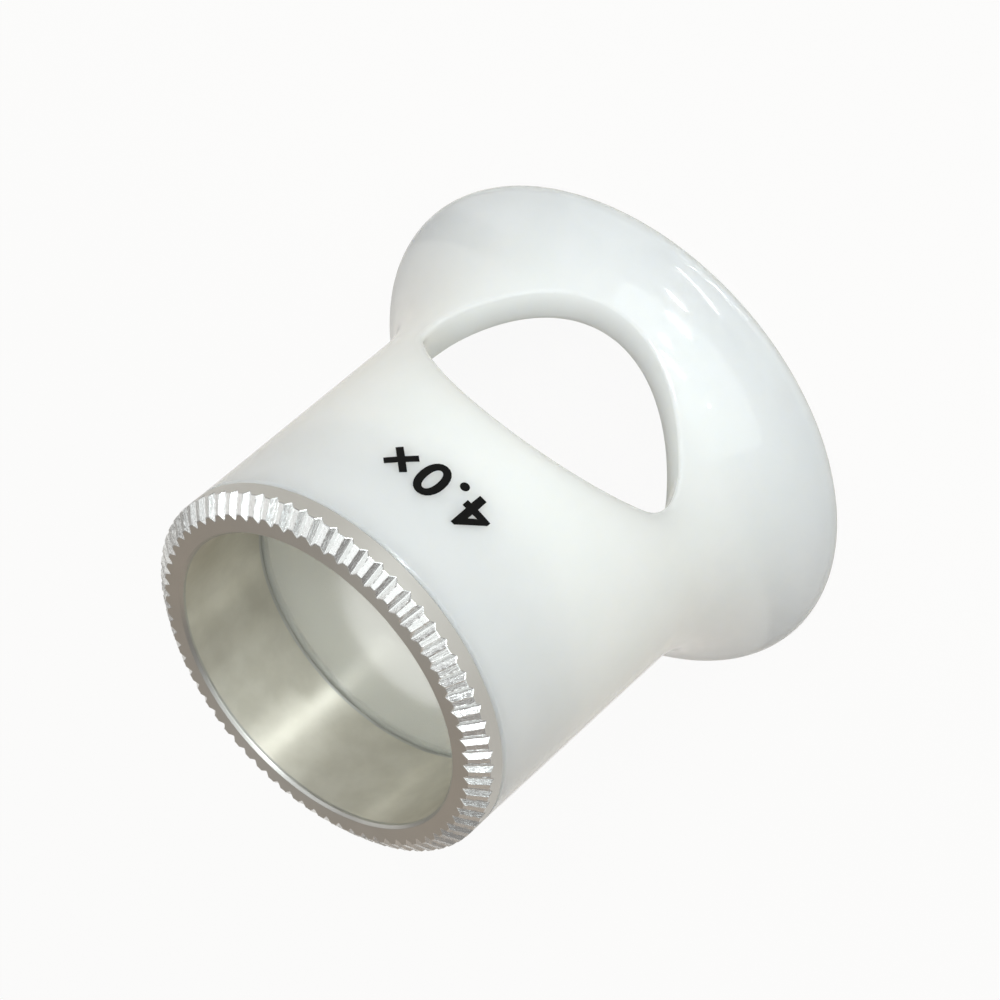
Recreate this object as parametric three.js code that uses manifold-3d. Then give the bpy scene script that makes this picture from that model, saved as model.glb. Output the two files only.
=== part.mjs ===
// Watchmaker's eye loupe, in millimetres, standing on its eye rim.
// The optical axis is +Z, from the wearer's eye towards the work, and the windows face -Y and +Y.
// A white moulded eyecup carries the lens on a ledge, and a knurled aluminium ring screws in over it.
import * as THREE from "three";
import { mergeVertices } from "three/addons/utils/BufferGeometryUtils.js";
import Module from "manifold-3d";

// Lens: equiconvex, of crown glass
const lensRadius = 12.5;
const lensEdgeThickness = 2.1;
const lensFocalLength = 63.5;     // two and a half inches, a magnification of four
const glassIndex = 1.523;
const lensBevel = 0.25;

// Eyecup: a flared rim, a drafted tube, and a ledge inside for the lens
const rimRadius = 20.25;          // outer edge of the rim that sits in the eye socket
const bodyHeight = 31.2;
const flareHeight = 11;           // where the straight tube ends and the flare begins
const draftAngle = THREE.MathUtils.degToRad(1.05);
const rimWidth = 2;               // across the rim, from its outer to its inner edge
const rimOuterRound = 0.55;
const rimInnerRound = 0.4;
const mouthBevel = 0.2;           // outer edge of the tube's ring end
const threadWall = 1.55;          // outside the thread, at the tube's ring end
const threadRelief = 0.35;        // how far the body's thread runs on past the sleeve's thread
const ledgeWidth = 0.65;          // how far the ledge reaches in under the lens
const ledgeThickness = 1.2;
const tubeBoreStep = 0.1;         // the bore behind the ledge is wider than the ledge by this

// Eyecup: windows, shaped by one core that passes straight through both walls
const windowBottom = 5.05;        // lowest point of the lower arc, above the rim's end
const windowTopMargin = 4.1;      // from the highest point of the upper arc to the ledge
const windowTipHeight = 10.8;     // where the two arcs would meet
const windowSideWall = 3.6;       // from that meeting point out to the side of the tube
const windowCornerRadius = 3.15;

// Screw ring: a knurled flange with a threaded sleeve, bored right through
const lensLip = 0.7;              // how far the sleeve's end reaches in over the lens
const boreBevel = 0.2;
const flangeThickness = 2.15;
const flangeBackBevel = 0.15;
const sleeveLength = 6.15;
const threadStep = 0.25;          // from the sleeve's plain tip out to the thread's pitch radius
const pilotLength = 0.75;         // plain tip of the sleeve, below the thread
const tipBevel = 0.12;

// Knurl: V-grooves across the chamfered corner of the flange
const knurlChamferWidth = 1.17;
const knurlChamferHeight = 0.85;
const grooveCount = 72;
const grooveDepth = 0.26;
const grooveAngle = THREE.MathUtils.degToRad(110);

// Fits
const threadClearance = 0.2;      // radial, between the two halves of the thread
const lensClearance = 0.2;        // radial, round the lens in its seat
const pilotClearance = 0.2;       // radial, round the sleeve's tip in the same bore
const seatGap = 0.1;              // axial, between faces that meet
const overrun = 1;                // how far a cutter runs on past what it cuts

// Facets
const bodySegments = 80;
const ringSegments = 2 * grooveCount;
const lensSegments = 56;
const flareSteps = 11;
const roundSteps = 3;             // below the widest place of each round on the rim
const blendSteps = 2;             // above it, up to the flare
const windowSteps = 18;
const cornerSteps = 6;
const lensSteps = 6;

// Places that follow from the sizes above
const flangeBack = bodyHeight + seatGap;
const ringFace = flangeBack + flangeThickness;
const sleeveEnd = flangeBack - sleeveLength;
const lensFrontEdge = sleeveEnd - seatGap;
const lensBackEdge = lensFrontEdge - lensEdgeThickness;
const ledgeTop = lensBackEdge - seatGap;
const ledgeBottom = ledgeTop - ledgeThickness;
const seatRadius = lensRadius + lensClearance;
const ledgeRadius = lensRadius - ledgeWidth;
const boreRadius = lensRadius - lensLip;
const pilotRadius = seatRadius - pilotClearance;
const pilotTop = sleeveEnd + pilotLength;
const threadRadius = pilotRadius + threadStep;
const bodyThreadRadius = threadRadius + threadClearance;
const bodyThreadEnd = pilotTop - threadRelief;
const tubeRadius = bodyThreadRadius + threadWall;
const windowTop = ledgeBottom - windowTopMargin;
const chamferAngle = Math.atan2(knurlChamferHeight, knurlChamferWidth);
const chamferSlant = Math.hypot(knurlChamferHeight, knurlChamferWidth);

const wasm = await Module();
wasm.setup();

const point = (radius, height) => new THREE.Vector2(radius, height);

// Turns any closed geometry into a solid that can be joined and cut.
function toSolid(geometry) {
  const bare = geometry.clone();
  bare.deleteAttribute("normal");
  bare.deleteAttribute("uv");
  const merged = mergeVertices(bare);
  const corners = merged.index.array;
  const kept = [];
  for (let i = 0; i < corners.length; i += 3) {
    const [a, b, c] = [corners[i], corners[i + 1], corners[i + 2]];
    if (a !== b && b !== c && c !== a) kept.push(a, b, c);
  }
  return new wasm.Manifold(new wasm.Mesh({
    numProp: 3,
    vertProperties: new Float32Array(merged.attributes.position.array),
    triVerts: new Uint32Array(kept),
  }));
}

// Turns a solid back into a geometry for a mesh.
function toGeometry(solid) {
  const { vertProperties, triVerts } = solid.getMesh();
  const geometry = new THREE.BufferGeometry();
  geometry.setAttribute("position", new THREE.BufferAttribute(vertProperties, 3));
  geometry.setIndex(new THREE.BufferAttribute(triVerts, 1));
  geometry.computeVertexNormals();
  return geometry;
}

// Revolves a profile of (radius, height) points about the Z axis, outer side listed from below.
function revolve(profile, segments) {
  return toSolid(new THREE.LatheGeometry(profile, segments).rotateX(Math.PI / 2));
}

// Points of an arc about a centre, both ends included.
function arc(centre, radius, from, to, steps) {
  return Array.from({ length: steps + 1 }, (_, i) => {
    const angle = THREE.MathUtils.lerp(from, to, i / steps);
    return point(centre.x + radius * Math.cos(angle), centre.y + radius * Math.sin(angle));
  });
}

// One face of the flare: an arc that leaves the tube along its draft at `start` and runs smoothly
// into the rim's round about `rim`. `side` is 1 on the wall's outer face and -1 on its inner face.
function flare(start, rim, round, side) {
  const across = point(Math.cos(draftAngle), Math.sin(draftAngle));
  const apart = start.clone().sub(rim);
  const radius = (apart.lengthSq() - round ** 2) / (2 * (side * round - across.dot(apart)));
  const centre = start.clone().addScaledVector(across, radius);
  const turn = Math.atan2(centre.y - rim.y, centre.x - rim.x);
  return { turn, points: arc(centre, radius, Math.PI + draftAngle, Math.PI + turn, flareSteps) };
}

// Radius of a drafted wall at a height, from its radius at another height.
function drafted(radius, fromHeight, height) {
  return radius + (fromHeight - height) * Math.tan(draftAngle);
}

function eyecupProfile() {
  const outerStart = point(drafted(tubeRadius, bodyHeight, flareHeight), flareHeight);
  const outerRim = point(rimRadius - rimOuterRound, rimOuterRound);
  const outer = flare(outerStart, outerRim, rimOuterRound, 1);
  const rimOuter = [
    ...arc(outerRim, rimOuterRound, -Math.PI / 2, 0, roundSteps),
    ...arc(outerRim, rimOuterRound, 0, outer.turn, blendSteps).slice(1, -1),
  ];

  const boreTop = ledgeBottom - tubeBoreStep;
  const tubeBoreRadius = ledgeRadius + tubeBoreStep;
  const innerStart = point(drafted(tubeBoreRadius, boreTop, flareHeight), flareHeight);
  const innerRim = point(rimRadius - rimWidth + rimInnerRound, rimInnerRound);
  const inner = flare(innerStart, innerRim, rimInnerRound, -1);
  const rimInner = arc(innerRim, rimInnerRound, Math.PI + inner.turn, 1.5 * Math.PI, roundSteps);

  return [
    ...rimInner.slice(1),
    ...rimOuter,
    ...outer.points.reverse(),
    point(tubeRadius, bodyHeight - mouthBevel),
    point(tubeRadius - mouthBevel, bodyHeight),
    point(bodyThreadRadius, bodyHeight),
    point(bodyThreadRadius, bodyThreadEnd),
    point(seatRadius, bodyThreadEnd - threadClearance),
    point(seatRadius, ledgeTop),
    point(ledgeRadius, ledgeTop),
    point(ledgeRadius, ledgeBottom),
    point(tubeBoreRadius, boreTop),
    ...inner.points,
    rimInner[1],
  ];
}

// Radius of an arc of this rise on a chord of this half width.
function arcRadius(halfWidth, rise) {
  return (halfWidth ** 2 + rise ** 2) / (2 * rise);
}

// Window outline in the XZ plane: two arcs that bulge apart, with rounded corners where they meet.
function windowShape() {
  const halfWidth = drafted(tubeRadius, bodyHeight, windowTipHeight) - windowSideWall;
  const upperRadius = arcRadius(halfWidth, windowTop - windowTipHeight);
  const lowerRadius = arcRadius(halfWidth, windowTipHeight - windowBottom);
  const upperCentre = point(0, windowTop - upperRadius);
  const lowerCentre = point(0, windowBottom + lowerRadius);
  const upperReach = upperRadius - windowCornerRadius;
  const lowerReach = lowerRadius - windowCornerRadius;
  const apart = lowerCentre.y - upperCentre.y;
  const rise = (apart ** 2 + upperReach ** 2 - lowerReach ** 2) / (2 * apart);
  const corner = point(Math.sqrt(upperReach ** 2 - rise ** 2), upperCentre.y + rise);
  const upperAngle = Math.atan2(corner.y - upperCentre.y, corner.x);
  const lowerAngle = Math.atan2(corner.y - lowerCentre.y, corner.x);
  const mirrored = point(-corner.x, corner.y);
  const outline = [
    ...arc(upperCentre, upperRadius, upperAngle, Math.PI - upperAngle, windowSteps),
    ...arc(mirrored, windowCornerRadius, Math.PI - upperAngle, Math.PI - lowerAngle, cornerSteps).slice(1),
    ...arc(lowerCentre, lowerRadius, -Math.PI - lowerAngle, lowerAngle, windowSteps).slice(1),
    ...arc(corner, windowCornerRadius, lowerAngle, upperAngle, cornerSteps).slice(1, -1),
  ];
  return new THREE.Shape(outline);
}

function eyecupBody() {
  const reach = rimRadius + overrun;
  const core = new THREE.ExtrudeGeometry(windowShape(), { depth: 2 * reach, bevelEnabled: false });
  core.rotateX(Math.PI / 2).translate(0, reach, 0);
  return revolve(eyecupProfile(), bodySegments).subtract(toSolid(core));
}

function ringProfile() {
  return [
    point(boreRadius + tipBevel, sleeveEnd),
    point(pilotRadius - tipBevel, sleeveEnd),
    point(pilotRadius, sleeveEnd + tipBevel),
    point(pilotRadius, pilotTop - threadStep),
    point(threadRadius, pilotTop),
    point(threadRadius, flangeBack),
    point(tubeRadius - flangeBackBevel, flangeBack),
    point(tubeRadius, flangeBack + flangeBackBevel),
    point(tubeRadius, ringFace - knurlChamferHeight),
    point(tubeRadius - knurlChamferWidth, ringFace),
    point(boreRadius + boreBevel, ringFace),
    point(boreRadius, ringFace - boreBevel),
    point(boreRadius, sleeveEnd + tipBevel),
    point(boreRadius + tipBevel, sleeveEnd),
  ];
}

// One V-shaped cutter, lying along the chamfer with its edge at the groove's root.
function grooveCutter(turn) {
  const height = grooveDepth + overrun;
  const halfWidth = height * Math.tan(grooveAngle / 2);
  const section = new THREE.Shape([point(0, 0), point(halfWidth, height), point(-halfWidth, height)]);
  const runOut = grooveDepth / Math.tan(chamferAngle) + overrun;
  const length = chamferSlant + 2 * runOut;
  const cutter = new THREE.ExtrudeGeometry(section, { depth: length, bevelEnabled: false });

  const across = new THREE.Vector3(0, 1, 0);
  const outward = new THREE.Vector3(Math.sin(chamferAngle), 0, Math.cos(chamferAngle));
  const along = new THREE.Vector3(Math.cos(chamferAngle), 0, -Math.sin(chamferAngle));
  const root = new THREE.Vector3(tubeRadius - knurlChamferWidth, 0, ringFace)
    .addScaledVector(outward, -grooveDepth)
    .addScaledVector(along, -runOut);
  cutter.applyMatrix4(new THREE.Matrix4().makeBasis(across, outward, along).setPosition(root));
  return toSolid(cutter.rotateZ(turn));
}

function screwRing() {
  let ring = revolve(ringProfile(), ringSegments);
  for (let i = 0; i < grooveCount; i += 1) {
    ring = ring.subtract(grooveCutter((2 * Math.PI * (i + 0.5)) / grooveCount));
  }
  return ring;
}

function lensSolid() {
  const surfaceRadius = 2 * (glassIndex - 1) * lensFocalLength;
  const edgeRadius = lensRadius - lensBevel;
  const halfAngle = Math.asin(edgeRadius / surfaceRadius);
  const drop = surfaceRadius * Math.cos(halfAngle);
  const back = arc(
    point(0, lensBackEdge + drop), surfaceRadius, -Math.PI / 2, halfAngle - Math.PI / 2, lensSteps);
  const front = arc(
    point(0, lensFrontEdge - drop), surfaceRadius, Math.PI / 2 - halfAngle, Math.PI / 2, lensSteps);
  back[0].x = 0;
  front[lensSteps].x = 0;
  const profile = [
    ...back,
    point(lensRadius, lensBackEdge + lensBevel),
    point(lensRadius, lensFrontEdge - lensBevel),
    ...front,
  ];
  return revolve(profile, lensSegments);
}

const whitePlastic = new THREE.MeshStandardMaterial({ color: 0xe6e9e7, roughness: 0.28, metalness: 0 });
const aluminium = new THREE.MeshStandardMaterial({ color: 0xb4b6b2, roughness: 0.34, metalness: 1 });
const glass = new THREE.MeshStandardMaterial({
  color: 0xdfe8e4, roughness: 0.04, metalness: 0, transparent: true, opacity: 0.35,
});

function piece(name, solid, material) {
  const mesh = new THREE.Mesh(toGeometry(solid), material);
  mesh.name = name;
  return mesh;
}

const loupe = new THREE.Group();
loupe.add(
  piece("eyecup_body", eyecupBody(), whitePlastic),
  piece("lens", lensSolid(), glass),
  piece("screw_ring", screwRing(), aluminium),
);

export default loupe;
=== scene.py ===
import math

import bmesh
import bpy
import numpy as np
from mathutils import Matrix, Vector
from mathutils.geometry import delaunay_2d_cdt


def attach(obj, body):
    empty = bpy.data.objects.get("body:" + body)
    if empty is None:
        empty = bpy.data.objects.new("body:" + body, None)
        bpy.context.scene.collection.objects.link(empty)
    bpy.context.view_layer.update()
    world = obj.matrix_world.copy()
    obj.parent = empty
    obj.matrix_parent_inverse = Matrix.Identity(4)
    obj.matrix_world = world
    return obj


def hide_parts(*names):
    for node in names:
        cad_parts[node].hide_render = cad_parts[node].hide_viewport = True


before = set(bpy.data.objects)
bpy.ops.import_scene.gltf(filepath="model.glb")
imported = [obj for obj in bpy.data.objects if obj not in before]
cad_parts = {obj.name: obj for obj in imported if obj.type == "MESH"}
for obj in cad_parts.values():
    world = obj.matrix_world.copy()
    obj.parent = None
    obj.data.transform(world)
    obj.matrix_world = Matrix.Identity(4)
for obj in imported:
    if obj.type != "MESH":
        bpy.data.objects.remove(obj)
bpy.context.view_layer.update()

# Sizes in millimetres, as in the solids. Only FLANGE_BACK is 0.08 lower than there, so that the
# gap of 0.1 between the flange and the eyecup doesn't show
MM = 0.001                  # in metres
RIM_RADIUS = 20.25
BODY_HEIGHT = 31.2
FLARE_HEIGHT = 11.0
DRAFT = math.radians(1.05)
RIM_WIDTH = 2.0
RIM_OUTER_ROUND = 0.55
RIM_INNER_ROUND = 0.4
TUBE_RADIUS = 14.5
MOUTH_BEVEL = 0.2
BODY_THREAD_RADIUS = 12.95
BODY_THREAD_END = 25.55
SEAT_RADIUS = 12.7
LEDGE_RADIUS = 11.85
LEDGE_TOP = 22.85
LEDGE_BOTTOM = 21.65
TUBE_BORE_STEP = 0.1
WINDOW_TOP_CENTRE = 4.76
WINDOW_TOP_RADIUS = 12.79
WINDOW_LOWER_CENTRE = 18.98
WINDOW_LOWER_RADIUS = 13.93
WINDOW_CORNER_RADIUS = 3.15
WINDOW_OUTER_ROUND = 0.38
WINDOW_INNER_ROUND = 0.2
LENS_RADIUS = 12.5
LENS_FRONT_EDGE = 25.05
LENS_BACK_EDGE = 22.95
LENS_SPHERE_RADIUS = 66.421
LENS_BEVEL = 0.25
BORE_RADIUS = 11.8
BORE_BEVEL = 0.2
FLANGE_BACK = 31.22
FLANGE_BACK_BEVEL = 0.15
RING_FACE = 33.45
SLEEVE_END = 25.15
THREAD_RADIUS = 12.75
THREAD_PITCH = 0.75
THREAD_DEPTH = 0.2
PILOT_RADIUS = 12.5
PILOT_TOP = 25.9
TIP_BEVEL = 0.12
KNURL_WIDTH = 1.17
KNURL_HEIGHT = 0.85
GROOVES = 72
GROOVE_DEPTH = 0.26
GROOVE_ANGLE = math.radians(110.0)

# Sizes that only this script has: small edges, the thread's ridges and the knurl's rough cut
HEADROOM = 0.1              # plain strip between a turned edge and the next patch
THREAD_LEAD = 0.15          # bevel at the mouth of the eyecup's thread
THREAD_RUNOUT = 0.25        # height of the cone at a thread's inner end
THREAD_FADE = 0.5
THREAD_STEEPNESS = 1.3      # above 1, the ridges and the grooves between them are flat-topped
BAND_HEIGHT = 0.6           # the strip of the ring's side that carries the knurl's ends
EDGE_BREAK = 0.035
BLUNT = 0.03                # half the width of a groove's root
ROOT_WANDER = 0.03
BURR_FOOT = 0.07
BURR_LOW, BURR_SPREAD = 0.008, 0.02
BURR_ROUGHNESS = 0.012
DEPTH_LOW, DEPTH_SPREAD = 0.96, 0.06        # shares of GROOVE_DEPTH

# The printed mark
MARK_HEIGHT = 2.9
MARK_BOLD = 0.09
MARK_CENTRE = 24.8
MARK_TURN = math.radians(-91.5)
MARK_LIFT = 0.014
MARK_SINK = 0.05
MARK_STEP = 0.2             # the letters are cut this fine, to bend round the tube
MITRE_LIMIT = 0.6

# How finely the surfaces are divided
MERGES_PER_MM = 2e4         # the grid on which points that meet become one
BODY_COLUMNS = 256
WINDOW_SECTOR = math.radians(66.0)
WALL_STEP = 0.4
CORNER_STEPS = 4
WINDOW_STEPS = 72
WINDOW_CORNER_STEPS = 12
WINDOW_EDGE_ROWS = 8
WINDOW_CUT_ROWS = 7
RIM_ROWS = 13
THREAD_ROWS = 8             # a pitch
KNURL_ROWS = (0, 0.025, 0.14, 0.26, 0.38, 0.5, 0.62, 0.74, 0.86, 0.975, 1)
LENS_COLUMNS = 192
LENS_ROWS = 33

HALF_TURN = np.array([-1, -1, 1])           # times a place: that place turned to the back

# The camera that reproduces the photograph, in metres, and its focal length in millimetres
CAMERA_PLACE = (-0.052452, -0.153589, 0.129960)
CAMERA_RIGHT = (-0.76239, -0.20671, -0.61321)
CAMERA_UP = (0.58963, -0.61234, -0.52666)
CAMERA_SENSOR, CAMERA_FOCUS = 36.0, 101.135

# The studio, in metres. Each lamp: its turn about the axis and its rise above the floor in
# degrees, its distance, width, height, radiance and colour
FLOOR_REACH = 3.0
FLOOR_DROP = 0.00003
AIM_HEIGHT = 0.015
LAMPS = {
    "Key": (-112, 20, 0.6, 1.10, 0.42, 1.38, (0.89, 0.98, 0.99)),
    "Top": (-109, 77, 0.7, 0.60, 0.56, 0.90, (0.96, 1.0, 0.99)),
    "Upper_side": (-34, 50, 0.7, 0.34, 0.34, 1.0, (0.97, 1.0, 1.0)),
    "Side": (8, 29, 0.7, 0.42, 0.42, 0.66, (1.0, 1.0, 0.97)),
    "Far": (102, 31, 0.7, 1.30, 0.50, 0.20, (1.0, 0.76, 0.52)),
    "Back": (94, 12, 0.7, 1.05, 0.20, 1.7, (1.0, 0.98, 0.95)),
}
# Thin bars, which are the dashes on the flare and the streak in the bore: turn, rise, width,
# height and radiance
BARS = (
    (-85.5, 41.5, 0.10, 0.007, 120),
    (-95, 33, 0.12, 0.007, 220),
    (-107, 15, 0.14, 0.008, 70),
    (-87, 55, 0.20, 0.009, 20),
    (-131, 16, 0.014, 0.012, 60),
    (-96, 21, 0.06, 0.010, 175),
)
BAR_DISTANCE = 0.6
BAR_COLOUR = (0.92, 0.98, 1.0)


def unit(vectors):
    return vectors / np.linalg.norm(vectors, axis=-1, keepdims=True)


def rotated(vector, angle):
    cos, sin = math.cos(angle), math.sin(angle)
    return np.array([vector[0] * cos - vector[1] * sin, vector[0] * sin + vector[1] * cos])


def spread(columns, first=0, last=None):
    """The angles of columns spaced evenly about the axis: all of them, or first to last."""
    return np.arange(first, columns if last is None else last + 1) * 2 * math.pi / columns


def placed(name, data):
    """A new object of this name, in the scene."""
    thing = bpy.data.objects.new(name, data)
    bpy.context.scene.collection.objects.link(thing)
    return thing


class Surface:
    """Gathers patches of points with their exact normals, and makes one closed mesh of them."""

    def __init__(self):
        self.points, self.normals, self.faces, self.count = [], [], [], 0

    def add(self, points, normals, faces, slot=0):
        points = np.asarray(points, float).reshape(-1, 3)
        normals = unit(np.asarray(normals, float).reshape(-1, 3))
        faces = np.asarray(faces, int)
        ends = points[faces]
        facing = np.cross(ends[:, 2] - ends[:, 0], ends[:, -1] - ends[:, 1])
        against = (facing * normals[faces].sum(axis=1)).sum(axis=1) < 0
        faces[against] = faces[against][:, ::-1]
        self.points.append(points)
        self.normals.append(normals)
        self.faces.append((faces + self.count, slot))
        self.count += len(points)

    def grid(self, points, normals, around=False, slot=0):
        """Adds a patch of rows and columns. One that goes around has its last column joined to
        its first."""
        rows, columns = points.shape[:2]
        ids = np.arange(rows * columns).reshape(rows, columns)
        if around:
            ids = np.concatenate([ids, ids[:, :1]], axis=1)
        quads = np.stack([ids[:-1, :-1], ids[:-1, 1:], ids[1:, 1:], ids[1:, :-1]], axis=-1)
        self.add(points, normals, quads.reshape(-1, 4), slot)

    def build(self, name, materials):
        """Makes the object, with points that meet made one, and without the faces that have
        fewer than three points left."""
        points, normals = np.concatenate(self.points), np.concatenate(self.normals)
        grid = np.round(points * MERGES_PER_MM).astype(np.int64)
        _, first, same = np.unique(grid, axis=0, return_index=True, return_inverse=True)
        same = same.reshape(-1)
        faces, corners, slots = [], [], []
        for group, slot in self.faces:
            for face, merged in zip(group.tolist(), same[group].tolist()):
                kept = [k for k in range(len(face)) if merged[k] != merged[k - 1]]
                if len(kept) > 2:
                    faces.append([merged[k] for k in kept])
                    corners.extend(face[k] for k in kept)
                    slots.append(slot)
        mesh = bpy.data.meshes.new(name)
        mesh.from_pydata(points[first] * MM, [], faces)
        for material in materials:
            mesh.materials.append(material)
        mesh.polygons.foreach_set("material_index", slots)
        mesh.polygons.foreach_set("use_smooth", [True] * len(faces))
        mesh.normals_split_custom_set(normals[corners].tolist())
        mesh.update()
        return placed(name, mesh)


class Wall:
    """One face of the eyecup's wall: a drafted tube, then a flare that leaves the tube and meets
    the rim's round smoothly. The side is 1 for the outer face and -1 for the inner one.

    A place on it is an angle about the axis and a way down the wall from its top edge."""

    def __init__(self, top_radius, top_height, rim_centre, rim_round, side):
        self.top_radius, self.top_height, self.side = top_radius, top_height, side
        across = np.array([math.cos(DRAFT), math.sin(DRAFT)])
        start = np.array([self.drafted(FLARE_HEIGHT), FLARE_HEIGHT])
        apart = start - np.array([rim_centre, rim_round])
        self.radius = (apart @ apart - rim_round ** 2) / (2 * (side * rim_round - across @ apart))
        self.centre = start + self.radius * across
        self.rim_angle = math.atan2(self.centre[1] - rim_round, self.centre[0] - rim_centre)
        self.straight = (top_height - FLARE_HEIGHT) / math.cos(DRAFT)
        self.length = self.straight + self.radius * (self.rim_angle - DRAFT)

    def drafted(self, height):
        """The tube's radius at a height."""
        return self.top_radius + (self.top_height - height) * math.tan(DRAFT)

    def profile(self, way):
        """Radius, height and outward normal at a way down the wall."""
        way = np.asarray(way, float)
        bend = math.pi + DRAFT + np.clip(way - self.straight, 0, None) / self.radius
        on_tube = way <= self.straight
        tube_height = self.top_height - way * math.cos(DRAFT)
        radius = np.where(on_tube, self.top_radius + way * math.sin(DRAFT),
                          self.centre[0] + self.radius * np.cos(bend))
        height = np.where(on_tube, tube_height, self.centre[1] + self.radius * np.sin(bend))
        return radius, height, -np.cos(bend) * self.side, -np.sin(bend) * self.side

    def way_at(self, height):
        """How far down the wall a height lies."""
        height = np.asarray(height, float)
        sine = np.clip((self.centre[1] - height) / self.radius, -1, 1)
        on_tube = (self.top_height - height) / math.cos(DRAFT)
        on_arc = self.straight + self.radius * (np.arcsin(sine) - DRAFT)
        return np.where(height >= FLARE_HEIGHT, on_tube, on_arc)

    def at(self, angle, way):
        """Points and normals at angles and ways down the wall."""
        radius, height, across, up = self.profile(way)
        angle = np.asarray(angle, float)
        cos, sin = np.cos(angle), np.sin(angle)
        points = np.stack(np.broadcast_arrays(radius * cos, radius * sin, height), axis=-1)
        normals = np.stack(np.broadcast_arrays(across * cos, across * sin, up), axis=-1)
        return points, normals


def revolve(surface, profile, angles, slot=0):
    """Turns rows of (radius, height, normal across, normal up) about the axis."""
    profile = np.asarray(profile, float)
    cos, sin = np.cos(angles), np.sin(angles)
    radius, height, across, up = (profile[:, k, None] for k in range(4))
    flat = np.zeros_like(cos)
    points = np.stack([radius * cos, radius * sin, height + flat], axis=-1)
    normals = np.stack([across * cos, across * sin, up + flat], axis=-1)
    surface.grid(points, normals, around=True, slot=slot)


def rounded(corners):
    """Profile rows for a line through (radius, height, rounding) corners, its outer side on the
    right."""
    places = np.array([c[:2] for c in corners], float)
    rows = []

    def row(place, ahead):
        rows.append([*place, ahead[1], -ahead[0]])

    for k, (place, corner) in enumerate(zip(places, corners)):
        before = unit(place - places[k - 1]) if k > 0 else None
        after = unit(places[k + 1] - place) if k + 1 < len(places) else None
        if before is None or after is None:
            row(place, after if before is None else before)
            continue
        rounding = corner[2]
        turn = math.atan2(before[0] * after[1] - before[1] * after[0], before @ after)
        start = place - before * (rounding * math.tan(abs(turn) / 2))
        for i in range(CORNER_STEPS + 1):
            angle = turn * i / CORNER_STEPS
            chord = 2 * rounding * math.sin(abs(angle) / 2)
            row(start + rotated(before, angle / 2) * chord, rotated(before, angle))
    return rows


def window_outline():
    """The window's outline as (x, z) places, with the direction out of the window at each."""
    upper = WINDOW_TOP_RADIUS - WINDOW_CORNER_RADIUS
    lower = WINDOW_LOWER_RADIUS - WINDOW_CORNER_RADIUS
    apart = WINDOW_LOWER_CENTRE - WINDOW_TOP_CENTRE
    rise = (apart ** 2 + upper ** 2 - lower ** 2) / (2 * apart)
    side, height = math.sqrt(upper ** 2 - rise ** 2), WINDOW_TOP_CENTRE + rise
    high = math.atan2(rise, side)
    low = math.atan2(height - WINDOW_LOWER_CENTRE, side)
    arcs = [
        (0.0, WINDOW_TOP_CENTRE, WINDOW_TOP_RADIUS, high, math.pi - high, WINDOW_STEPS),
        (-side, height, WINDOW_CORNER_RADIUS, math.pi - high, math.pi - low, WINDOW_CORNER_STEPS),
        (0.0, WINDOW_LOWER_CENTRE, WINDOW_LOWER_RADIUS,
         math.pi - low, 2 * math.pi + low, WINDOW_STEPS),
        (side, height, WINDOW_CORNER_RADIUS,
         2 * math.pi + low, 2 * math.pi + high, WINDOW_CORNER_STEPS),
    ]
    places, directions = [], []
    for x, z, radius, start, end, count in arcs:
        angles = np.linspace(start, end, count, endpoint=False)
        out = np.stack([np.cos(angles), np.sin(angles)], axis=1)
        places.append(np.array([x, z]) + radius * out)
        directions.append(out)
    return np.concatenate(places), np.concatenate(directions)


def window_edge(wall, places, directions, radius):
    """Rows that round the edge between a wall's face and the window's cut, from face to cut.

    Gives the points, their normals, and where the first row lies on the wall."""
    x, z = places.T
    at_radius = wall.profile(wall.way_at(z))[0]
    edge = np.stack([x, -np.sqrt(at_radius ** 2 - x ** 2), z], axis=1)
    face = wall.at(np.arctan2(edge[:, 1], edge[:, 0]), wall.way_at(z))[1]
    cut = np.stack([-directions[:, 0], np.zeros(len(x)), -directions[:, 1]], axis=1)
    along = unit(np.cross(face, cut))
    away = np.cross(along, face)
    away *= np.sign((away * -cut).sum(axis=1))[:, None]
    inward = np.cross(along, cut)
    inward *= np.sign(inward[:, 1] * wall.side)[:, None]
    corner = np.arccos(np.clip((away * inward).sum(axis=1), -1, 1))
    setback = (radius / np.tan(corner / 2))[:, None]
    first = edge + away * setback
    angle, way = np.arctan2(first[:, 1], first[:, 0]), wall.way_at(first[:, 2])
    first = wall.at(angle, way)[0]
    last = edge + np.array([0, wall.side, 0]) * setback
    share = np.linspace(0, 1, WINDOW_EDGE_ROWS)[:, None, None]
    points = (1 - share) ** 2 * first + 2 * share * (1 - share) * edge + share ** 2 * last
    down = np.gradient(points, axis=0)
    across = np.roll(points, -1, axis=1) - np.roll(points, 1, axis=1)
    normals = unit(np.cross(down, across))
    normals *= np.sign((normals * (face + cut)).sum(axis=2))[:, :, None]
    normals[0], normals[-1] = face, cut
    return points, normals, angle, way


def inside(polygon, places):
    """Which places lie inside a closed polygon."""
    x, y = places[:, 0, None], places[:, 1, None]
    ax, ay = polygon[:, 0], polygon[:, 1]
    bx, by = np.roll(ax, -1), np.roll(ay, -1)
    crosses = (ay > y) != (by > y)
    slope = np.where(by == ay, 1.0, by - ay)
    reach = (bx - ax) * (y - ay) / slope + ax
    return (crosses & (x < reach)).sum(axis=1) % 2 == 1


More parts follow.
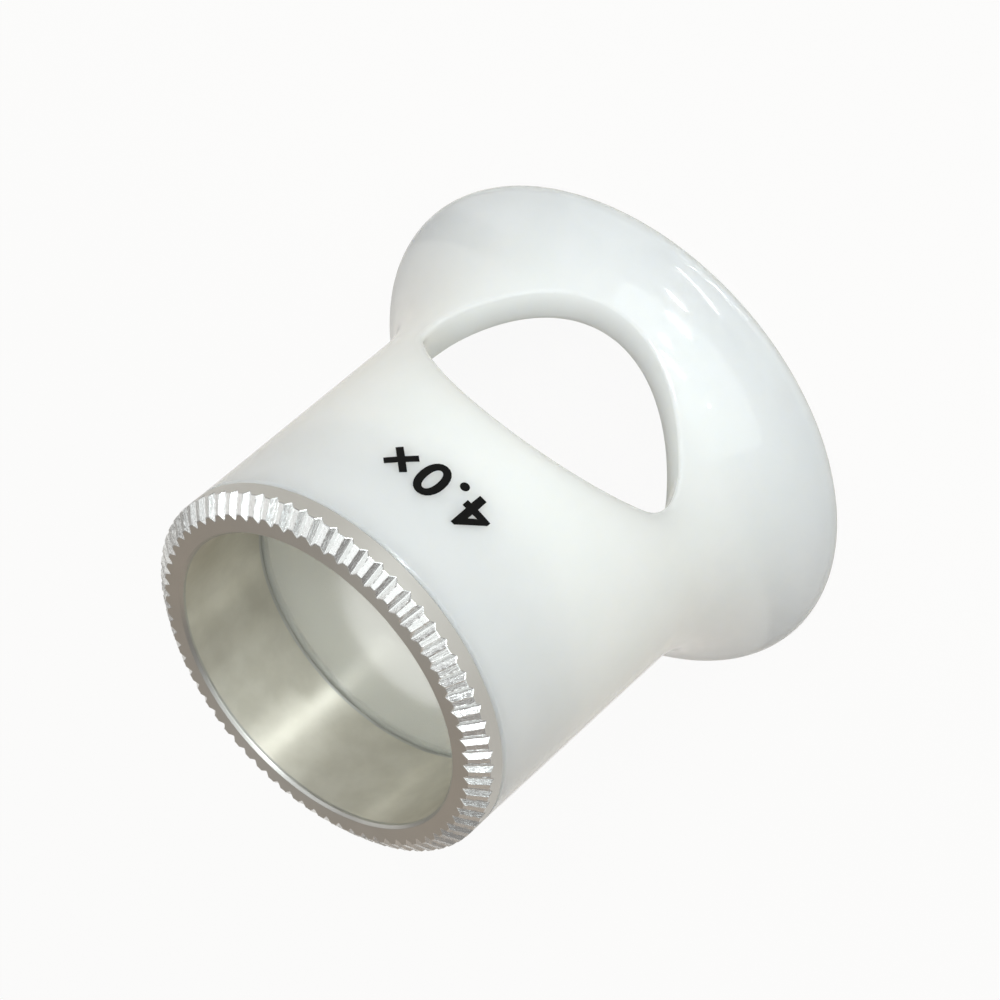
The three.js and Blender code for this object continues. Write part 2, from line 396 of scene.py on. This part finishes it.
def pierced_wall(surface, wall, columns, ways, angle, way):
    """A wall's face round both windows: triangles that join the points of a grid to each window."""
    scale = TUBE_RADIUS
    loop = np.stack([angle * scale, way], axis=1)
    u, v = np.meshgrid(columns * scale, ways)
    places = np.stack([u.ravel(), v.ravel()], axis=1)
    rows, count = len(ways), len(columns)
    gaps = np.linalg.norm(places[:, None, :] - loop[None, :, :], axis=2).min(axis=1)
    kept = ~inside(loop, places) & (gaps > 0.5 * WALL_STEP)
    number = np.full(rows * count, -1)
    number[kept] = np.arange(kept.sum())
    number = number.reshape(rows, count)
    border = [*number[0, :-1], *number[:-1, -1], *number[-1, :0:-1], *number[:0:-1, 0]]
    total = int(kept.sum())
    lines = [(int(a), int(b)) for a, b in zip(border, border[1:] + border[:1])]
    lines += [(total + k, total + (k + 1) % len(loop)) for k in range(len(loop))]
    flat = np.concatenate([places[kept], loop])
    filled, tolerance = 0, 1e-7
    found = delaunay_2d_cdt([Vector(p) for p in flat], lines, [], filled, tolerance)
    flat = flat[[sources[0] for sources in found[3]]]
    faces = np.array(found[2])
    faces = faces[~inside(loop, flat[faces].mean(axis=1))]
    points, normals = wall.at(flat[:, 0] / scale, flat[:, 1])
    surface.add(points, normals, faces)
    surface.add(points * HALF_TURN, normals * HALF_TURN, faces)


def thread(surface, radius, top, bottom, angles, side):
    """Ridges of the screw thread about a pitch radius, fading out at both ends."""
    rows = int(round((top - bottom) / THREAD_PITCH * THREAD_ROWS)) + 1
    angle, height = np.meshgrid(angles, np.linspace(top, bottom, rows))
    fade = np.clip((top - height) / THREAD_FADE, 0, 1)
    fade *= np.clip((height - bottom) / THREAD_FADE, 0, 1)

    def reach(angle, height):
        phase = 2 * np.pi * height / THREAD_PITCH - angle
        wave = np.clip(THREAD_STEEPNESS * np.arcsin(np.sin(phase)) * 2 / np.pi, -1, 1)
        return radius + THREAD_DEPTH * fade * wave

    at = reach(angle, height)
    step = 1e-3
    rise = (reach(angle, height + step) - reach(angle, height - step)) / (2 * step)
    turn = (reach(angle + step, height) - reach(angle - step, height)) / (2 * step * at)
    cos, sin = np.cos(angle), np.sin(angle)
    points = np.stack([at * cos, at * sin, height], axis=-1)
    normals = np.stack([cos + turn * sin, sin - turn * cos, -rise], axis=-1) * side
    surface.grid(points, normals, around=True)


def make_eyecup(materials):
    """The eyecup: two walls with a pair of windows, the mouth, the thread, the seat and the rim."""
    surface = Surface()
    mouth = BODY_HEIGHT - MOUTH_BEVEL
    bore_radius, bore_top = LEDGE_RADIUS + TUBE_BORE_STEP, LEDGE_BOTTOM - TUBE_BORE_STEP
    outer_rim = RIM_RADIUS - RIM_OUTER_ROUND
    inner_rim = RIM_RADIUS - RIM_WIDTH + RIM_INNER_ROUND
    outer = Wall(TUBE_RADIUS, mouth - HEADROOM, outer_rim, RIM_OUTER_ROUND, 1)
    inner = Wall(bore_radius, bore_top - HEADROOM, inner_rim, RIM_INNER_ROUND, -1)

    outline = window_outline()
    front, front_normals, *front_loop = window_edge(outer, *outline, WINDOW_OUTER_ROUND)
    back, back_normals, *back_loop = window_edge(inner, *outline, WINDOW_INNER_ROUND)
    share = np.linspace(0, 1, WINDOW_CUT_ROWS)[:, None, None]
    cut = (1 - share) * front[-1] + share * back[-1]
    cut_normals = np.broadcast_to(front_normals[-1], cut.shape)
    for turn in (1, HALF_TURN):
        surface.grid(front * turn, front_normals * turn, around=True)
        surface.grid(cut * turn, cut_normals * turn, around=True)
        surface.grid(back * turn, back_normals * turn, around=True)

    half = int(round(WINDOW_SECTOR / (2 * math.pi) * BODY_COLUMNS))
    quarter = BODY_COLUMNS // 4
    sector = spread(BODY_COLUMNS, 3 * quarter - half, 3 * quarter + half) - 2 * math.pi
    side = spread(BODY_COLUMNS, half - quarter, quarter - half)
    for wall, loop in ((outer, front_loop), (inner, back_loop)):
        ways = np.linspace(0, wall.length, int(round(wall.length / WALL_STEP)) + 1)
        pierced_wall(surface, wall, sector, ways, *loop)
        for columns in (side, side + math.pi):
            surface.grid(*wall.at(columns, ways[:, None]))

    lip = [
        (TUBE_RADIUS, mouth - HEADROOM, 0), (TUBE_RADIUS, mouth, 0.15),
        (TUBE_RADIUS - MOUTH_BEVEL, BODY_HEIGHT, 0.15),
        (BODY_THREAD_RADIUS + THREAD_LEAD, BODY_HEIGHT, 0.05),
        (BODY_THREAD_RADIUS, BODY_HEIGHT - THREAD_LEAD, 0)]
    seat = [
        (BODY_THREAD_RADIUS, BODY_THREAD_END, 0),
        (SEAT_RADIUS, BODY_THREAD_END - THREAD_RUNOUT, 0.05),
        (SEAT_RADIUS, LEDGE_TOP, 0.05), (LEDGE_RADIUS, LEDGE_TOP, 0.1),
        (LEDGE_RADIUS, LEDGE_BOTTOM, 0.1), (bore_radius, bore_top, 0.1),
        (bore_radius, bore_top - HEADROOM, 0)]
    turns = spread(BODY_COLUMNS)
    revolve(surface, rounded(lip), turns)
    thread(surface, BODY_THREAD_RADIUS, BODY_HEIGHT - THREAD_LEAD, BODY_THREAD_END, turns, -1)
    revolve(surface, rounded(seat), turns)

    rim = []
    for centre, rounding, start, end in (
            (inner_rim, RIM_INNER_ROUND, math.pi + inner.rim_angle, 1.5 * math.pi),
            (outer_rim, RIM_OUTER_ROUND, -0.5 * math.pi, outer.rim_angle)):
        for angle in np.linspace(start, end, RIM_ROWS):
            across, up = math.cos(angle), math.sin(angle)
            rim.append((centre + rounding * across, rounding + rounding * up, across, up))
    revolve(surface, rim, turns)
    return surface.build("Eyecup_moulding", materials)


def knurl(surface):
    """The ring's grooved corner, with burred lands and saw-toothed ends. Gives both end rows."""
    chance = np.random.RandomState(5)
    slope = math.atan2(KNURL_HEIGHT, KNURL_WIDTH)
    half_pitch = math.pi / GROOVES
    share = np.array(KNURL_ROWS)[:, None]
    face_ends, band_ends = [], []

    def strip(turn, columns):
        """Rows from the flat face to the band, for columns of (offset, share of half pitch, depth,
        lift)."""
        offset, widening, depth = (np.array([c[k] for c in columns], float) for k in range(3))
        lift = np.stack([np.broadcast_to(c[3], len(share)) for c in columns], axis=1)
        start = TUBE_RADIUS - KNURL_WIDTH - depth / math.sin(slope)
        drop = KNURL_HEIGHT + depth / math.cos(slope)
        radius = start + (TUBE_RADIUS - start) * share + lift * math.sin(slope)
        height = RING_FACE - drop * share + lift * math.cos(slope)
        radius[0] -= EDGE_BREAK
        height[-1] -= EDGE_BREAK
        across = (1 - abs(widening)) * offset + widening * radius * math.sin(half_pitch)
        angle = turn + np.arcsin(across / radius)
        return np.stack([radius * np.cos(angle), radius * np.sin(angle), height], axis=-1)

    for groove in range(GROOVES):
        turn = half_pitch * (2 * groove + 1)
        cos, sin = math.cos(turn), math.sin(turn)
        toward = np.array([math.sin(slope) * cos, math.sin(slope) * sin, math.cos(slope)])
        depth = GROOVE_DEPTH * (DEPTH_LOW + DEPTH_SPREAD * chance.rand())
        half = depth * math.tan(GROOVE_ANGLE / 2)
        root = ROOT_WANDER * (chance.rand() - 0.5)
        burr = BURR_LOW + BURR_SPREAD * chance.rand(2)
        rough = BURR_ROUGHNESS * chance.randn(2, len(share))
        rough[:, [0, 1, -2, -1]] = 0
        floor = depth * (1 - BLUNT / half)
        near, far = root - half, root + half
        near_foot, far_foot = near - BURR_FOOT, far + BURR_FOOT
        near_burr, far_burr = (near, 0, -burr[0], rough[0]), (far, 0, -burr[1], rough[1])
        near_root, far_root = (root - BLUNT, 0, floor, 0), (root + BLUNT, 0, floor, 0)
        strips = [
            [(0, -1, 0, 0), (near_foot, -0.5, 0, 0), (near_foot, 0, 0, 0)],
            [(near_foot, 0, 0, 0), near_burr],
            [near_burr, (root - half / 2, 0, depth / 2, 0), near_root],
            [near_root, far_root],
            [far_root, (root + half / 2, 0, depth / 2, 0), far_burr],
            [far_burr, (far_foot, 0, 0, 0)],
            [(far_foot, 0, 0, 0), (far_foot, 0.5, 0, 0), (0, 1, 0, 0)],
        ]
        for columns in strips:
            points = strip(turn, columns)
            for rows in (points[:2], points[1:-1], points[-2:]):
                down, across = np.gradient(rows, axis=0), np.gradient(rows, axis=1)
                normals = unit(np.cross(down, across))
                normals *= np.sign((normals * toward).sum(axis=-1, keepdims=True))
                surface.grid(rows, normals, slot=1)
            face_ends.append(points[0, :-1])
            band_ends.append(points[-1, :-1])
    return np.concatenate(face_ends), np.concatenate(band_ends)


def make_ring(materials):
    """The screw ring: the knurl, then all that is turned.

    Of its materials the first is turned, the second cut and the third bored."""
    surface = Surface()
    face_ends, band_ends = knurl(surface)
    angles = np.arctan2(band_ends[:, 1], band_ends[:, 0])
    cos, sin, flat = np.cos(angles), np.sin(angles), np.zeros(len(angles))
    inner = BORE_RADIUS + BORE_BEVEL + HEADROOM
    below = RING_FACE - KNURL_HEIGHT - BAND_HEIGHT
    edge = np.stack([inner * cos, inner * sin, flat + RING_FACE], axis=-1)
    up = np.broadcast_to([0.0, 0.0, 1.0], (2, len(angles), 3))
    surface.grid(np.stack([face_ends, edge]), up, around=True)
    out = np.stack([cos, sin, flat], axis=-1)
    band = np.stack([band_ends, TUBE_RADIUS * out + np.array([0, 0, below])])
    surface.grid(band, np.stack([out, out]), around=True)

    bore = [
        (inner, RING_FACE, 0), (BORE_RADIUS + BORE_BEVEL, RING_FACE, 0.08),
        (BORE_RADIUS, RING_FACE - BORE_BEVEL, 0.12),
        (BORE_RADIUS, RING_FACE - BORE_BEVEL - 2 * HEADROOM, 0)]
    tip = [
        (BORE_RADIUS, SLEEVE_END + TIP_BEVEL + 2 * HEADROOM, 0),
        (BORE_RADIUS, SLEEVE_END + TIP_BEVEL, 0.05), (BORE_RADIUS + TIP_BEVEL, SLEEVE_END, 0.04),
        (PILOT_RADIUS - TIP_BEVEL, SLEEVE_END, 0.04), (PILOT_RADIUS, SLEEVE_END + TIP_BEVEL, 0.04),
        (PILOT_RADIUS, PILOT_TOP - THREAD_RUNOUT, 0.04), (THREAD_RADIUS, PILOT_TOP, 0)]
    back = [
        (THREAD_RADIUS, FLANGE_BACK - HEADROOM, 0), (THREAD_RADIUS, FLANGE_BACK, 0.06),
        (TUBE_RADIUS - FLANGE_BACK_BEVEL, FLANGE_BACK, 0.06),
        (TUBE_RADIUS, FLANGE_BACK + FLANGE_BACK_BEVEL, 0.08), (TUBE_RADIUS, below, 0)]
    revolve(surface, rounded(bore), angles)
    revolve(surface, [[*bore[-1][:2], -1, 0], [*tip[0][:2], -1, 0]], angles, slot=2)
    revolve(surface, rounded(tip), angles)
    thread(surface, THREAD_RADIUS, FLANGE_BACK - HEADROOM, PILOT_TOP, angles, 1)
    revolve(surface, rounded(back), angles)
    return surface.build("Screw_ring_knurled", materials)


def make_lens(materials):
    """The lens: two polished caps, and the ground edge between them with its bevels as slot 1."""
    surface = Surface()
    edge = LENS_RADIUS - LENS_BEVEL
    drop = math.sqrt(LENS_SPHERE_RADIUS ** 2 - edge ** 2)
    turns = spread(LENS_COLUMNS)

    def cap(height, side):
        radius = np.linspace(0, edge, LENS_ROWS)
        across = radius / LENS_SPHERE_RADIUS
        up = np.sqrt(1 - across ** 2)
        rise = side * (LENS_SPHERE_RADIUS * up - drop)
        return np.stack([radius, height + rise, across, side * up], axis=1)

    revolve(surface, cap(LENS_BACK_EDGE, -1), turns)
    corners = [
        (edge, LENS_BACK_EDGE, 0), (LENS_RADIUS, LENS_BACK_EDGE + LENS_BEVEL, 0),
        (LENS_RADIUS, LENS_FRONT_EDGE - LENS_BEVEL, 0), (edge, LENS_FRONT_EDGE, 0)]
    for ends in zip(corners, corners[1:]):
        revolve(surface, rounded(ends), turns, slot=1)
    revolve(surface, cap(LENS_FRONT_EDGE, 1), turns)
    return surface.build("Lens_glass", materials)


def make_mark(text, materials):
    """The printed mark: flat lettering, widened all round, cut fine enough to bend, and laid round
    the tube."""
    name = "Magnification_mark"
    curve = bpy.data.curves.new(name, "FONT")
    curve.body, curve.align_x, curve.align_y = text, "CENTER", "CENTER"
    curve.extrude, curve.space_character, curve.resolution_u = 1.0, 1.15, 6
    letters = placed(name, curve)
    bpy.context.view_layer.update()
    seen = letters.evaluated_get(bpy.context.evaluated_depsgraph_get())
    mesh = bpy.data.meshes.new_from_object(seen)
    bpy.data.objects.remove(letters)
    places = np.array([v.co for v in mesh.vertices])
    low, high = places[:, :2].min(axis=0), places[:, :2].max(axis=0)
    scale = MARK_HEIGHT / (high[1] - low[1])
    shape = bmesh.new()
    shape.from_mesh(mesh)
    bmesh.ops.remove_doubles(shape, verts=shape.verts, dist=1e-5)
    shape.normal_update()
    for vertex in shape.verts:
        sides = [face.normal.copy() for face in vertex.link_faces if abs(face.normal.z) < 0.5]
        if sides:
            out = sum(sides, Vector()).normalized()
            vertex.co += out * MARK_BOLD / scale / max(out.dot(sides[0]), MITRE_LIMIT)
    for cut in np.arange(low[0], high[0], MARK_STEP / scale)[1:]:
        bmesh.ops.bisect_plane(
            shape, geom=shape.verts[:] + shape.edges[:] + shape.faces[:],
            plane_co=(cut, 0, 0), plane_no=(1, 0, 0), dist=1e-6)
    for vertex in shape.verts:
        x, y = ((vertex.co[k] - (low[k] + high[k]) / 2) * scale for k in range(2))
        up = MARK_CENTRE + y
        lift = MARK_LIFT if vertex.co.z > 0 else -MARK_SINK
        radius = TUBE_RADIUS + (BODY_HEIGHT - up) * math.tan(DRAFT) + lift
        angle = MARK_TURN + x / TUBE_RADIUS
        vertex.co = Vector((radius * math.cos(angle), radius * math.sin(angle), up)) * MM
    shape.to_mesh(mesh)
    shape.free()
    mesh.materials.clear()
    for material in materials:
        mesh.materials.append(material)
    return placed(name, mesh)


class Shader:
    """The node tree of a new material, or of a world, with short calls to add and join nodes."""

    def __init__(self, name, world=None):
        self.owner = world or bpy.data.materials.new(name)
        self.owner.use_nodes = True
        self.nodes, self.links = self.owner.node_tree.nodes, self.owner.node_tree.links
        self.main = self.nodes["Background" if world else "Principled BSDF"]

    def put(self, socket, value):
        if isinstance(value, bpy.types.NodeSocket):
            self.links.new(value, socket)
        else:
            socket.default_value = value

    def add(self, kind, **inputs):
        node = self.nodes.new("ShaderNode" + kind)
        for name, value in inputs.items():
            self.put(node.inputs[name.replace("_", " ")], value)
        return node

    def set(self, **inputs):
        for name, value in inputs.items():
            self.put(self.main.inputs[name.replace("_", " ")], value)

    def math(self, operation, first, second=0.0):
        node = self.add("Math")
        node.operation = operation
        self.put(node.inputs[0], first)
        self.put(node.inputs[1], second)
        return node.outputs[0]

    def noise(self, vector, scale, detail=3.0, roughness=0.5):
        node = self.add("TexNoise", Vector=vector, Scale=scale, Detail=detail, Roughness=roughness)
        return node.outputs["Fac"]

    def between(self, value, low, high, start, end):
        """Takes values from low to high over to start to end."""
        node = self.add(
            "MapRange", Value=value, From_Min=low, From_Max=high, To_Min=start, To_Max=end)
        return node.outputs["Result"]

    def blend(self, share, first, second):
        """A colour from the first to the second, both as red, green and blue."""
        node = self.add("Mix")
        node.data_type = "RGBA"
        for key, value in ((0, share), (6, (*first, 1)), (7, (*second, 1))):
            self.put(node.inputs[key], value)
        return node.outputs[2]

    def place(self):
        """Object coordinates in millimetres."""
        node = self.add("VectorMath")
        node.operation = "SCALE"
        self.put(node.inputs[0], self.add("TexCoord").outputs["Object"])
        self.put(node.inputs["Scale"], 1 / MM)
        return node.outputs[0]

    def cylindrical(self):
        """The radius, turn and height of a place about the axis."""
        x, y, z = self.add("SeparateXYZ", Vector=self.place()).outputs
        square = self.math("ADD", self.math("MULTIPLY", x, x), self.math("MULTIPLY", y, y))
        return self.math("SQRT", square), self.math("ARCTAN2", y, x), z

    def vector(self, x, y, z):
        return self.add("CombineXYZ", X=x, Y=y, Z=z).outputs[0]

    def tangent(self):
        """The direction of the lathe's fine lines, round the axis."""
        node = self.add("Tangent")
        node.direction_type, node.axis = "RADIAL", "Z"
        return node.outputs[0]

    def seen(self, mirrored):
        """1 where the camera looks, straight or through glass, and this share in a mirror."""
        rays = self.add("LightPath").outputs
        straight = self.math("MAXIMUM", rays["Is Camera Ray"], rays["Is Transmission Ray"])
        glossy = self.math("MULTIPLY", rays["Is Glossy Ray"], mirrored)
        return self.math("MAXIMUM", straight, glossy)

    def bump(self, height, distance, strength=1.0):
        """A bump of this distance, in millimetres."""
        return self.add("Bump", Height=height, Distance=distance * MM, Strength=strength).outputs[0]


def white_plastic():
    shader = Shader("White_plastic")
    place = shader.place()
    cloud = shader.between(shader.noise(place, 0.22, 2.0), 0.35, 0.65, 0, 1)
    fine = shader.noise(place, 1.6)
    shader.set(
        Base_Color=shader.blend(cloud, (0.87, 0.90, 0.885), (0.895, 0.915, 0.90)),
        Roughness=shader.between(fine, 0.3, 0.7, 0.05, 0.08),
        Subsurface_Weight=0.9, Subsurface_Radius=(1.0, 0.95, 0.85), Subsurface_Scale=0.006,
        Normal=shader.bump(shader.noise(place, 1.1, 2.0), 0.006, 0.25))
    return shader.owner


def satin_aluminium():
    shader = Shader("Aluminium_satin")
    radius, turn, height = shader.cylindrical()
    along = shader.vector(radius, height, shader.math("MULTIPLY", turn, 0.4))
    lines = shader.noise(along, 9.0, 4.0, 0.6)
    cloud = shader.noise(shader.place(), 0.35, 2.0)
    shader.set(
        Metallic=1.0, Anisotropic=0.6, Anisotropic_Rotation=0.25, Tangent=shader.tangent(),
        Base_Color=shader.blend(cloud, (0.60, 0.595, 0.57), (0.66, 0.655, 0.63)),
        Roughness=shader.between(lines, 0.3, 0.7, 0.36, 0.44),
        Normal=shader.bump(lines, 0.002, 0.4))
    return shader.owner


def bored_aluminium():
    shader = Shader("Aluminium_bored")
    _, turn, height = shader.cylindrical()
    along = shader.vector(0.0, height, shader.math("MULTIPLY", turn, 0.3))
    lines = shader.noise(along, 7.0, 4.0, 0.6)
    cloud = shader.between(shader.noise(shader.place(), 0.45), 0.35, 0.65, 0, 1)
    shader.set(
        Metallic=0.72, Anisotropic=1.0, Anisotropic_Rotation=0.25, Tangent=shader.tangent(),
        Base_Color=shader.blend(cloud, (0.67, 0.64, 0.555), (0.75, 0.72, 0.635)),
        Roughness=shader.between(lines, 0.3, 0.7, 0.31, 0.37),
        Normal=shader.bump(lines, 0.002, 0.3))
    return shader.owner


def cut_aluminium():
    shader = Shader("Aluminium_cut")
    radius, turn, height = shader.cylindrical()
    along = shader.math("MULTIPLY", shader.math("SUBTRACT", radius, height), 0.12)
    across = shader.math("MULTIPLY", turn, 14.0)
    streaks = shader.noise(shader.vector(across, along, 0.0), 11.0, 4.0, 0.6)
    shader.set(
        Metallic=1.0,
        Base_Color=shader.blend(streaks, (0.84, 0.845, 0.84), (0.94, 0.95, 0.95)),
        Roughness=shader.between(streaks, 0.3, 0.7, 0.16, 0.32),
        Normal=shader.bump(streaks, 0.04, 0.6))
    return shader.owner


def glass():
    shader = Shader("Lens_crown_glass")
    dust = shader.noise(shader.place(), 5.0, 4.0, 0.7)
    shader.set(
        Base_Color=(0.91, 0.92, 0.87, 1), IOR=1.523, Transmission_Weight=0.74,
        Roughness=shader.between(dust, 0.3, 0.75, 0.16, 0.22))
    return shader.owner


def ground_glass():
    shader = Shader("Lens_ground_edge")
    grain = shader.noise(shader.place(), 14.0)
    shader.set(
        Base_Color=shader.blend(grain, (0.60, 0.61, 0.56), (0.74, 0.75, 0.70)),
        IOR=1.523, Roughness=0.55, Normal=shader.bump(grain, 0.01, 0.6))
    return shader.owner


def black_ink():
    shader = Shader("Black_ink")
    grain = shader.noise(shader.place(), 6.0)
    shader.set(
        Base_Color=shader.blend(grain, (0.003, 0.003, 0.003), (0.007, 0.007, 0.007)),
        Roughness=shader.between(grain, 0.3, 0.7, 0.45, 0.6), Specular_IOR_Level=0.08)
    return shader.owner


def pale_floor():
    """Pale paint that takes the shadow, under a glow that the camera sees as white."""
    shader = Shader("Pale_floor")
    shader.nodes.remove(shader.main)
    paint = shader.add("BsdfDiffuse", Color=(0.70, 0.64, 0.55, 1)).outputs[0]
    glow = shader.add("Emission", Color=(1, 1, 1, 1), Strength=1.0).outputs[0]
    share = shader.math("MULTIPLY", shader.seen(0.55), 0.93)
    mix = shader.add("MixShader")
    for socket, value in zip(mix.inputs, (share, paint, glow)):
        shader.put(socket, value)
    shader.put(shader.nodes["Material Output"].inputs["Surface"], mix.outputs[0])
    return shader.owner


def area(name, turn, rise, distance, width, height, radiance, colour):
    """A rectangular lamp that faces the loupe."""
    turn, rise = math.radians(turn), math.radians(rise)
    flat = math.cos(rise)
    toward = Vector((flat * math.cos(turn), flat * math.sin(turn), math.sin(rise)))
    lamp = bpy.data.lights.new(name, "AREA")
    lamp.shape, lamp.size, lamp.size_y, lamp.color = "RECTANGLE", width, height, colour
    lamp.energy = radiance * math.pi * width * height
    thing = placed(name, lamp)
    thing.location = toward * distance + Vector((0, 0, AIM_HEIGHT))
    thing.rotation_euler = (-toward).to_track_quat("-Z", "Y").to_euler()
    return thing


def studio():
    """The floor, the world and the lamps."""
    mesh = bpy.data.meshes.new("Floor")
    corners = ((-1, -1), (1, -1), (1, 1), (-1, 1))
    mesh.from_pydata([(x * FLOOR_REACH, y * FLOOR_REACH, 0) for x, y in corners], [], [range(4)])
    mesh.materials.append(pale_floor())
    floor = placed("Floor", mesh)
    floor.location.z = -FLOOR_DROP

    world = bpy.data.worlds.new("Studio")
    bpy.context.scene.world = world
    # White to the camera, a dim grey to the loupe
    shader = Shader("Studio", world)
    shader.set(Color=shader.blend(shader.seen(0.04), (0.22, 0.21, 0.20), (1, 1, 1)))

    for name, lamp in LAMPS.items():
        # Back is kept out of mirrors, where its outline would show on the flare
        area(name, *lamp).visible_glossy = name != "Back"
    for number, (turn, rise, width, height, radiance) in enumerate(BARS, 1):
        area(f"Bar_{number}", turn, rise, BAR_DISTANCE, width, height, radiance, BAR_COLOUR)


def camera():
    """The camera of the photograph, squared up from its fitted right and up directions."""
    lens = bpy.data.cameras.new("Photo_camera")
    lens.sensor_width, lens.lens = CAMERA_SENSOR, CAMERA_FOCUS
    thing = placed("Photo_camera", lens)
    right = Vector(CAMERA_RIGHT).normalized()
    back = right.cross(Vector(CAMERA_UP)).normalized()
    axes = Matrix((right, back.cross(right), back)).transposed().to_4x4()
    thing.matrix_world = Matrix.Translation(CAMERA_PLACE) @ axes
    bpy.context.scene.camera = thing


bpy.context.scene.view_settings.view_transform = "Standard"
camera()
studio()
eyecup = make_eyecup([white_plastic()])
ring = make_ring([satin_aluminium(), cut_aluminium(), bored_aluminium()])
lens = make_lens([glass(), ground_glass()])
mark = make_mark("4.0×", [black_ink()])
for piece, body, node, slot in (
        (eyecup, "eyecup", "eyecup_body", "white_plastic"),
        (ring, "ring", "screw_ring", "bare_aluminium"),
        (lens, "lens_unit", "lens", "lens_glass")):
    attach(piece, body)
    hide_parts(node)
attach(mark, "eyecup")
